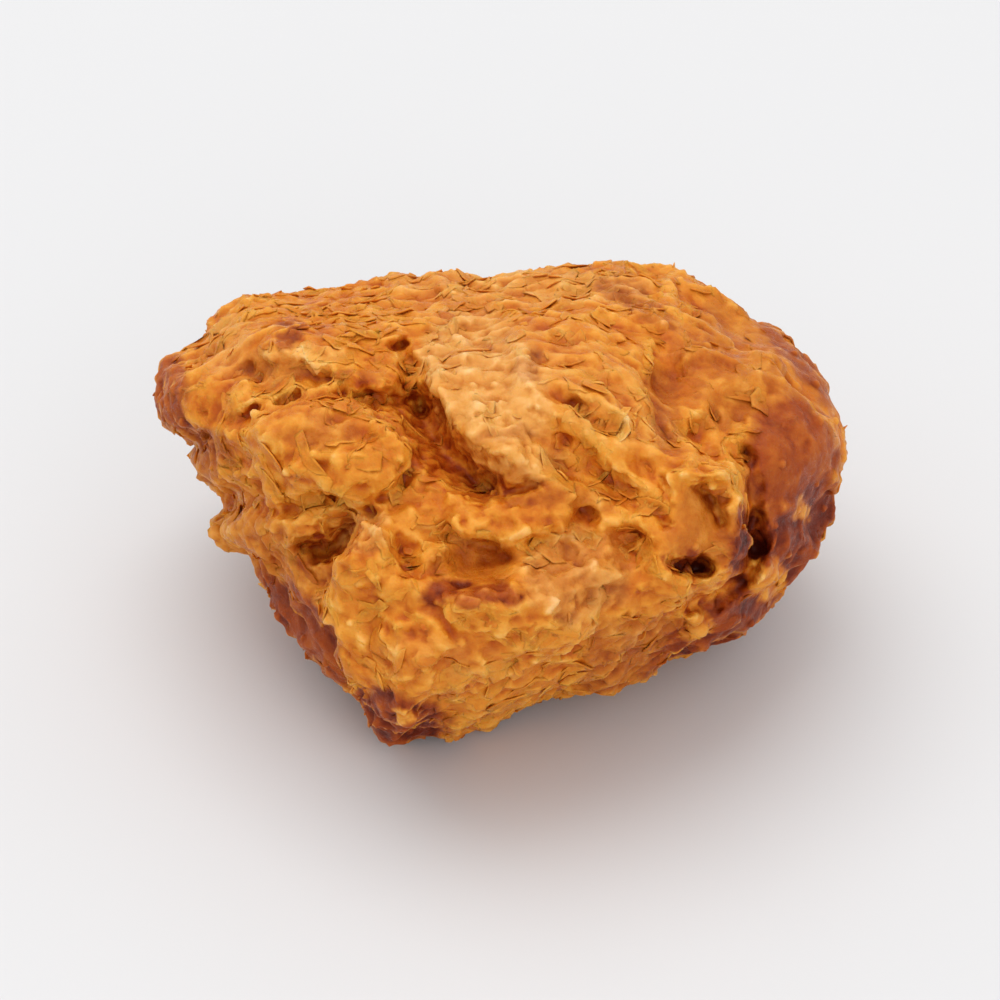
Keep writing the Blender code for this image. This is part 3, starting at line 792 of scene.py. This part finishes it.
# Folds of the wet coating, and the plates that it has set into.
warped = jostled(points, 1.6, 40, 0.5)
folds = drawn_out(warped, way, 3.0, 1.6, 51, taps=5)
broad, _ = plates(warped, way, 2.8, 52)
lumps = np.abs(lattice(warped, 2.3, 54)) + 0.5 * np.abs(lattice(warped, 1.0, 55))
strands = patches(DRAWN_OUT, points, facing)
calm = (1 - 0.75 * smooth) * (1 - 0.4 * lumpy) * (1 - 0.4 * strands)
relief = (0.16 * folds + 0.30 * skin.smoothed(broad, 2)) * calm
relief += lumpy * 1.0 * (lumps - 0.4) - 0.40
browned = browning_and_painted_shade(points, facing)
points = points + normals * relief[:, None]
points[:, 2] = np.maximum(points[:, 2], 0)
write_points(crust.data, points)
skin.points = points
lie = unit_rows(skin.smoothed(skin.normals(), 90))
hollow = ((skin.smoothed(points, 160) - points) * lie).sum(axis=1)


class Ground:
    """What flakes are laid on: places, the way that the surface faces, and its wrinkles."""

    def __init__(self, points, normals, way, faces):
        self.points, self.normals = points, normals
        self.way = unit_rows(way - normals * (way * normals).sum(axis=1)[:, None])
        self.bed = BVHTree.FromPolygons(points.tolist(), faces.tolist())


def by_ring(values, corners):
    """A value for each point of a flake: its top, its four rings of corners, and its foot."""
    return np.repeat(values, [1, corners, corners, corners, corners, 1])


def on_rings(values):
    """Values at a flake's corners, put on its top, its four rings and its foot."""
    return np.concatenate([values[:, :1], values, values, values, values, values[:, :1]], axis=1)


def flake_shapes(rng, count, corners, reach, width, lift, thickness, ragged):
    """Each flake's own lobed outline, tilt and curl, as rings of points in millimetres."""
    angle = 2 * math.pi * np.arange(corners) / corners + rng.uniform(0, 2 * math.pi, (count, 1))
    radius = np.ones((count, corners))
    for lobes, depth in ((2, 0.14), (3, 0.16), (4, 0.12), (5, 0.10)):
        swing = depth * ragged * rng.normal(0, 0.7, (count, 1))
        radius += swing * np.cos(lobes * angle + rng.uniform(0, 2 * math.pi, (count, 1)))
    radius = np.clip(radius, 0.45, 1.6)
    a, b = radius * np.cos(angle), radius * np.sin(angle)
    shares = by_ring([0.0, 0.5, 0.86, 1.0, 0.84, 0.0], corners)
    sunk = by_ring([0.0, 0.0, 0.06, 0.5, 1.0, 1.0], corners) * thickness
    along = on_rings(a) * shares
    across = on_rings(b) * shares
    curl = rng.uniform(-0.6, 0.6, (count, 1)) * across**2 + rng.uniform(-0.6, 0.3, (count, 1)) * along**2
    height = lift[:, None] * (np.clip((across + 1) / 2, 0, 1) * 1.2 - 0.2 + 0.35 * curl) - sunk
    return along * reach[:, None], across * width[:, None], height


# A flake looks for the crust this far over and under itself. Past an edge it hangs over by no
# more than OVERHANG before it has broken off, and it follows a dip down to FOLLOWS_DOWN.
SEARCH, OVERHANG, FOLLOWS_DOWN = 1.5, 0.7, 0.45
FREE_EDGE_DOWN = 0.72


def flakes(ground, count, seed, corners, reaches, breadths, lifts, thickness, straight, weight,
           ragged=1.0):
    """Torn flakes laid on the crust like shingles, each a closed body with one free edge.

    reaches, breadths and lifts are the least and the most. straight is how far the flakes turn
    off the wrinkles' way, and weight how likely each point of the ground is to hold one.
    """
    rng = np.random.default_rng(seed)
    tries = rng.integers(0, len(ground.points), count * 4)
    chosen = tries[rng.random(len(tries)) < weight[tries]][:count]
    count = len(chosen)
    reach, breadth, lift = (
        low + (high - low) * rng.random(count) ** 1.4 for low, high in (reaches, breadths, lifts)
    )
    width = reach * breadth
    flat_a, flat_b, height = flake_shapes(rng, count, corners, reach, width, lift, thickness, ragged)
    normal = ground.normals[chosen]
    turn = rng.normal(0, straight, count)[:, None]
    ahead = ground.way[chosen]
    ahead = ahead * np.cos(turn) + np.cross(normal, ahead) * np.sin(turn)
    down = np.cross(ahead, normal)
    free_side = np.where(rng.random(count) < FREE_EDGE_DOWN, 1, -1)
    free_side = free_side * np.where(down @ PHOTO.up > 0, -1, 1)
    down = down * free_side[:, None]

    def drops(a, b):
        """How far the crust lies above each place of the flake, and below it where less than 0."""
        flat = ground.points[chosen][:, None] + a[..., None] * ahead[:, None]
        flat = flat + b[..., None] * down[:, None]
        found = np.full(flat.shape[:2], -SEARCH)
        for i in range(count):
            towards = Vector(-normal[i])
            for k in range(flat.shape[1]):
                above = Vector(flat[i, k] + normal[i] * SEARCH)
                hit = ground.bed.ray_cast(above, towards, 2 * SEARCH)
                if hit[0]:
                    found[i, k] = SEARCH - hit[3]
        return flat, found

    # Over a hollow the flake has broken off, a little way past its edge.
    _, drop = drops(flat_a, flat_b)
    rim = slice(1 + 2 * corners, 1 + 3 * corners)
    hanging = drop[:, rim] < drop[:, :1] - OVERHANG
    shrink = on_rings(np.where(hanging, 0.5, 1.0))
    flat, drop = drops(flat_a * shrink, flat_b * shrink)
    kept = hanging.mean(axis=1) < 0.45
    drop = np.clip(drop, drop[:, :1] - FOLLOWS_DOWN, drop[:, :1] + OVERHANG)
    solid = (flat + normal[:, None] * (drop + height)[..., None])[kept]
    solid[..., 2] = np.maximum(solid[..., 2], 0.05)

    rings = [1 + corners * step for step in range(4)]
    last = 1 + 4 * corners
    faces = []
    for k in range(corners):
        n = (k + 1) % corners
        faces += [(0, 1 + k, 1 + n), (rings[3] + k, last, rings[3] + n)]
        for outer, inner in zip(rings[1:], rings[:-1]):
            faces += [(inner + k, outer + k, outer + n), (inner + k, outer + n, inner + n)]
    faces = np.array(faces)
    inside_out = (np.cross(ahead, down) * normal).sum(axis=1)[kept] < 0
    faces = np.where(inside_out[:, None, None], faces[:, ::-1], faces)
    faces = faces + (np.arange(len(solid)) * (last + 1))[:, None, None]
    mesh = bpy.data.meshes.new("flakes")
    mesh.from_pydata((solid.reshape(-1, 3) * MM).tolist(), [], faces.reshape(-1, 3).tolist())
    piece = bpy.data.objects.new("flakes", mesh)
    bpy.context.scene.collection.objects.link(piece)
    return piece, rng.normal(0, 1, len(solid))


rough_zone = (1 - 0.93 * smooth) * (1 - 0.4 * browned) * (1 - 0.6 * eased((hollow - 0.6) / 0.8))
ground = Ground(skin.smoothed(points, 4), lie, way, skin.quads)
broad_zone = rough_zone * (1 - 0.4 * strands)
narrow_zone = rough_zone * (0.2 + 0.8 * strands)
chip_zone = patches(CHIPS, points, facing)
# Broad flakes, narrow ones along the strands, small ones, and chips.
layers = (
    flakes(ground, 1300, 101, 12, (0.9, 3.0), (0.40, 0.85), (0.3, 0.9), 0.38, 0.9, broad_zone),
    flakes(ground, 900, 102, 12, (1.5, 4.2), (0.16, 0.30), (0.3, 0.75), 0.36, 0.35, narrow_zone),
    flakes(ground, 1300, 103, 10, (0.5, 1.0), (0.50, 0.90), (0.25, 0.6), 0.36, 1.4, rough_zone),
    flakes(ground, 70, 105, 10, (0.9, 1.8), (0.50, 0.80), (0.6, 1.1), 0.5, 1.4, chip_zone),
)
tones = [np.zeros(len(crust.data.polygons))]
tones += [np.repeat(tone, len(piece.data.polygons) // len(tone)) for piece, tone in layers]
tones = np.concatenate(tones)
bpy.ops.object.select_all(action="DESELECT")
for piece, _ in layers:
    piece.select_set(True)
crust.select_set(True)
bpy.context.view_layer.objects.active = crust
bpy.ops.object.join()
joined = np.empty(len(crust.data.vertices) * 3, np.float32)
crust.data.vertices.foreach_get("co", joined)
laid = BVHTree.FromPolygons(
    (joined.reshape(-1, 3) / MM).tolist(), [tuple(face.vertices) for face in crust.data.polygons]
)

# The coating sets as one: flakes and crust fuse.
set_as_one(crust, FUSED_GRAIN)
points = read_points(crust.data)


def carving(points):
    """The splits and holes as a move of each point, away from the photograph's eye."""
    u, v = in_photo(points)
    ragged = [0.4 * lattice(points, 2.0, 70 + k) + 0.22 * lattice(points, 0.8, 72 + k) for k in (0, 1)]
    relief = Relief(u + ragged[0], v + ragged[1])
    carve_front(relief)
    return np.outer(relief.rise * eased(((points - lifted) @ PHOTO.near + 2) / 6), PHOTO.near)


# The splits and holes open in the set crust. Then the rim is brought to the real outline.
write_points(crust.data, points + carving(points))
set_as_one(crust, FORM_GRAIN)
points = read_points(crust.data)
skin = Skin(crust.data, points)
tone = np.array([tones[laid.find_nearest(Vector(point))[2]] for point in points])
tone = skin.smoothed(tone, 2)
points = fitted_to_outline(skin.smoothed(points, 1) - lifted, 0.6, 2) + lifted
skin.points = points
normals = unit_rows(skin.smoothed(skin.normals(), 10))
facing = faces_photo(normals)
smooth = patches(SMOOTH, points, facing)
way = wrinkle_directions(points, normals)


crust_tree = kdtree.KDTree(len(points))
for i, point in enumerate(points):
    crust_tree.insert(point, i)
crust_tree.balance()

# Round beads of batter: middle in the photograph, and radius in millimetres.
BEADS = {(823, 633): 0.75, (834, 631): 0.4, (772, 686): 1.0, (638, 726): 0.95, (546, 642): 0.7,
         (606, 541): 0.5, (812, 610): 0.4, (696, 700): 0.5}


def blisters(middles, radii):
    """How far round bubbles of batter stand out."""
    height = np.zeros(len(points))
    for middle, radius in zip(middles, radii):
        for _, i, away in crust_tree.find_range(points[middle], radius):
            round_top = math.sqrt(1 - min(away / radius, 1) ** 2)
            height[i] = max(height[i], 0.8 * radius * round_top)
    return height


# The fine crust: small plates, and bubbles.
warped = jostled(points, 0.8, 44, 0.25)
middling, middling_tone = plates(warped, way, 1.3, 53, 1.8)
small, small_tone = plates(warped, way, 0.65, 56, 1.5)
relief = 0.16 * skin.smoothed(middling, 1) + 0.16 * skin.smoothed(small, 1)
relief = (relief + 0.04 * lattice(points, 0.5, 62)) * (1 - 0.65 * smooth)
rng = np.random.default_rng(61)
bubbles = 160
relief += blisters(rng.integers(0, len(points), bubbles), rng.uniform(0.22, 0.45, bubbles))
u, v = in_photo(points)
behind = 99 * (facing < 0.3)
beads = [int(np.argmin(np.hypot(u - a, v - b) + behind)) for a, b in photo_mm(list(BEADS))]
relief += blisters(beads, BEADS.values())
points = points + normals * relief[:, None]
points[:, 2] = np.maximum(points[:, 2], 0)

# What the colour follows: the crests of the fine crust, painted lighter, and how deep each place lies,
# painted darker as shade.
carved = carving(points)
whole = points - carved
skin.points = whole
close = ((whole - skin.smoothed(whole, 12)) * normals).sum(axis=1)
wide = skin.smoothed(whole, 60)
outward = unit_rows(skin.smoothed(skin.normals(), 60))
crest = ((whole - wide) * outward).sum(axis=1)
sunken = skin.smoothed(((skin.smoothed(wide, 200) - wide) * outward).sum(axis=1), 4)
# Painted shade: the carved splits and holes and the sunken hollows are painted darker by their depth,
# and the dark patches are added.
deep = np.clip(-carved @ PHOTO.near / 2.5, 0, 1) + 0.5 * eased((sunken - 0.1) / 1.3)
golden = patches(GOLDEN, points, facing)
deep = (deep + patches(DARK_AND_SHADED, points, facing)) * (1 - golden)
browned = browning_and_painted_shade(points, facing) * (1 - golden)
floured = patches(FLOURED, points, facing)


def store(mesh, **fields):
    """Fields of values on the points, for the material to read."""
    for name, values in fields.items():
        mesh.attributes.new(name, "FLOAT", "POINT").data.foreach_set("value", values.astype(np.float32))


write_points(crust.data, points)
# Painted light and shade: the crests of the crust are painted lighter and its fine hollows darker, with
# a random tone for each flake.
light = 0.5 + 0.45 * np.clip(crest, -0.6, 0.35) + 0.9 * np.clip(close, -0.25, 0.2)
light += 0.06 * tone + 0.10 * skin.smoothed(middling_tone, 1) + 0.06 * skin.smoothed(small_tone, 1)
store(crust.data, light=light, deep=deep, browned=browned, floured=floured)
triangles = 2 * len(crust.data.polygons)
apply_modifier(crust, "DECIMATE", ratio=min(1.0, MOST_TRIANGLES / triangles))


def linear(hex_colour):
    """An sRGB hex colour as the linear values that a shader takes."""
    shares = [int(hex_colour[k : k + 2], 16) / 255 for k in (1, 3, 5)]
    return [c / 12.92 if c <= 0.04045 else ((c + 0.055) / 1.055) ** 2.4 for c in shares] + [1.0]


def add(tree, kind, sockets=None, **settings):
    """A node with its settings. Each of its sockets takes a value, or a link from an output."""
    node = tree.nodes.new(kind)
    for name, value in settings.items():
        setattr(node, name, value)
    for name, value in (sockets or {}).items():
        if isinstance(value, bpy.types.NodeSocket):
            tree.links.new(value, node.inputs[name])
        else:
            node.inputs[name].default_value = value
    return node


def fried_flour_crust(name, roughness, translucence):
    """Fried flour crust: golden on its crests and thin edges and orange between them, as painted
    light and shade, and red-brown where the fryer or the meat shows and as painted shade in its
    holes and under its flaps. Dry, with an oily gleam."""
    finish = bpy.data.materials.new(name)
    finish.use_nodes = True
    tree = finish.node_tree
    shader = tree.nodes["Principled BSDF"]
    place = add(tree, "ShaderNodeTexCoord").outputs["Object"]
    light, deep, browned, floured = (
        add(tree, "ShaderNodeAttribute", attribute_name=field).outputs["Fac"]
        for field in ("light", "deep", "browned", "floured")
    )
    # Noises, each with its size in millimetres and its detail.
    coarse, middling, fine, grains, patchy, oily = (
        add(tree, "ShaderNodeTexNoise", {"Vector": place, "Scale": 1 / (size * MM), "Detail": detail,
                                         "Roughness": 0.6}).outputs["Fac"]
        for size, detail in ((5.0, 3), (1.3, 3), (0.45, 3), (0.45, 5), (2.2, 3), (0.7, 3))
    )
    # The noises vary the tone at random, and the painted shade in the hollows darkens it.
    for source, strength in ((coarse, 0.55), (middling, 0.22), (fine, 0.18), (deep, -0.22)):
        sockets = {0: source, 1: strength, 2: light}
        light = add(tree, "ShaderNodeMath", sockets, operation="MULTIPLY_ADD").outputs[0]
    light = add(tree, "ShaderNodeMath", {0: light, 1: 0.46}, operation="SUBTRACT").outputs[0]
    # Each layer of colour runs from the dark folds, painted as shade, to the pale edges, and lies
    # over the one before it by its share.
    colour = None
    for share, stops in (
        (None, ((0.0, "#8f3205"), (0.25, "#b4540f"), (0.45, "#cb721a"), (0.65, "#da8b2a"),
                (0.85, "#e6a142"), (1.0, "#f0b96a"))),
        (floured, ((0.0, "#a04c0b"), (0.3, "#c87c2e"), (0.55, "#dc9a4a"), (0.8, "#e8b26c"),
                   (1.0, "#f2cc94"))),
        # The browned layer also carries painted shade in the holes, creases and under the flaps.
        (browned, ((0.0, "#470f02"), (0.3, "#702405"), (0.55, "#9a420e"), (0.8, "#b55e1c"),
                   (1.0, "#cc7e34"))),
    ):
        ramp = add(tree, "ShaderNodeValToRGB", {"Fac": light})
        while len(ramp.color_ramp.elements) < len(stops):
            ramp.color_ramp.elements.new(1.0)
        for element, (position, hex_colour) in zip(ramp.color_ramp.elements, stops):
            element.position = position
            element.color = linear(hex_colour)
        if colour is None:
            colour = ramp.outputs["Color"]
            continue
        sockets = {0: patchy, 1: 0.6, 2: share}
        share = add(tree, "ShaderNodeMath", sockets, operation="MULTIPLY_ADD").outputs[0]
        sockets = {"Value": share, "From Min": 0.42, "From Max": 1.15}
        share = add(tree, "ShaderNodeMapRange", sockets).outputs[0]
        sockets = {0: share, 6: colour, 7: ramp.outputs["Color"]}
        colour = add(tree, "ShaderNodeMix", sockets, data_type="RGBA").outputs[2]
    tree.links.new(colour, shader.inputs["Base Color"])

    grain = add(tree, "ShaderNodeBump", {"Strength": 0.6, "Distance": 0.25 * MM, "Height": grains})
    tree.links.new(grain.outputs["Normal"], shader.inputs["Normal"])
    gleam = add(tree, "ShaderNodeMapRange", {"Value": oily, "From Min": 0.45, "From Max": 0.65,
                                             "To Min": roughness + 0.1, "To Max": roughness - 0.2})
    tree.links.new(gleam.outputs[0], shader.inputs["Roughness"])
    shader.inputs["Specular IOR Level"].default_value = 0.15
    shader.inputs["Subsurface Weight"].default_value = translucence
    shader.inputs["Subsurface Radius"].default_value = (1.0, 0.35, 0.1)
    shader.inputs["Subsurface Scale"].default_value = 0.7 * MM
    return finish


def finished(piece, finish):
    piece.data.shade_smooth()
    piece.data.materials.append(finish)
    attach(piece, "root")
    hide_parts("boneless_wing")


finished(crust, fried_flour_crust("fried_flour_crust", 0.40, 0.22))

# THE TORN FLAKES
# Thin flakes of fried flour that stand off the crust by their sharp edges. They broke up as the
# batter set. Each lies in the crust by its middle, and its free edge catches the light. They take
# the crust's painted light and shade beneath them, and their rims are painted lighter as a
# painted highlight.

FLAKE_CORNERS = 9
skin.points = points
ground = Ground(points, unit_rows(skin.smoothed(skin.normals(), 40)), way, skin.quads)
rough_zone = (1 - 0.97 * smooth) * (1 - 0.6 * browned) * (1 - 0.7 * np.clip(deep, 0, 1))
rough_zone *= 1 - 0.6 * patches(LUMPY, points, facing)
torn, torn_tones = flakes(
    ground, 2200, 104, FLAKE_CORNERS, (0.4, 1.9), (0.25, 0.75), (0.08, 0.42), 0.18, 0.8, rough_zone,
    ragged=2.2,
)
torn.name = "torn_flakes"
beneath = np.array([crust_tree.find(Vector(point))[1] for point in read_points(torn.data)])
in_one = len(beneath) // len(torn_tones)
# Painted highlight: each flake's rim is painted lighter, over the crust's painted light and shade
# beneath it.
edge_light = np.tile(by_ring([0.0, 0.0, 0.04, 0.16, 0.04, 0.0], FLAKE_CORNERS), len(torn_tones))
flake_light = 0.5 + 0.6 * (light[beneath] - 0.5) + 0.05 * np.repeat(torn_tones, in_one) + edge_light
store(torn.data, light=flake_light, deep=deep[beneath], browned=browned[beneath],
      floured=floured[beneath])
finished(torn, fried_flour_crust("torn_flour_flakes", 0.40, 0.22))

# THE STAGE
# A plain white table top, with one large soft light at the upper left and behind, and a pale
# room round it. The camera looks down on the piece as the photograph does.

bpy.ops.object.select_all(action="DESELECT")
bpy.ops.mesh.primitive_plane_add(size=3)
floor = bpy.context.object
floor.name = "table_top"
floor_finish = bpy.data.materials.new("white_table_top")
floor_finish.use_nodes = True
floor_shader = floor_finish.node_tree.nodes["Principled BSDF"]
floor_shader.inputs["Base Color"].default_value = linear("#d5d5d6")
floor_shader.inputs["Roughness"].default_value = 0.5
floor.data.materials.append(floor_finish)

middle = Vector(PHOTO.up) * (MIDDLE_HEIGHT * PHOTO.up[2] * MM)
middle += Vector((*piece_shift[:2], 0)) * MM


def look_at(thing, target):
    thing.rotation_mode = "QUATERNION"
    thing.rotation_quaternion = (target - thing.location).to_track_quat("-Z", "Y")


camera = bpy.data.objects.new("camera", bpy.data.cameras.new("camera"))
# Long, from 0.6 m away: the photograph shows little perspective.
camera.data.lens = 245
camera.data.clip_start = 0.01
camera.location = middle + Vector(PHOTO.near) * 0.6
look_at(camera, middle)
bpy.context.scene.collection.objects.link(camera)
bpy.context.scene.camera = camera

for name, where, size, power in (
    ("key", (-0.22, 0.20, 1.1), 1.0, 6.0),
    ("fill", (0.35, -1.0, 0.5), 1.0, 3.4),
):
    lamp = bpy.data.objects.new(name, bpy.data.lights.new(name, "AREA"))
    lamp.data.size = size
    lamp.data.energy = power
    lamp.location = where
    look_at(lamp, Vector((0, 0, 0.015)))
    bpy.context.scene.collection.objects.link(lamp)

room = bpy.data.worlds.new("room")
room.use_nodes = True
room.node_tree.nodes["Background"].inputs["Color"].default_value = (1, 1, 1, 1)
room.node_tree.nodes["Background"].inputs["Strength"].default_value = 0.88
bpy.context.scene.world = room
bpy.context.scene.view_settings.view_transform = "Standard"
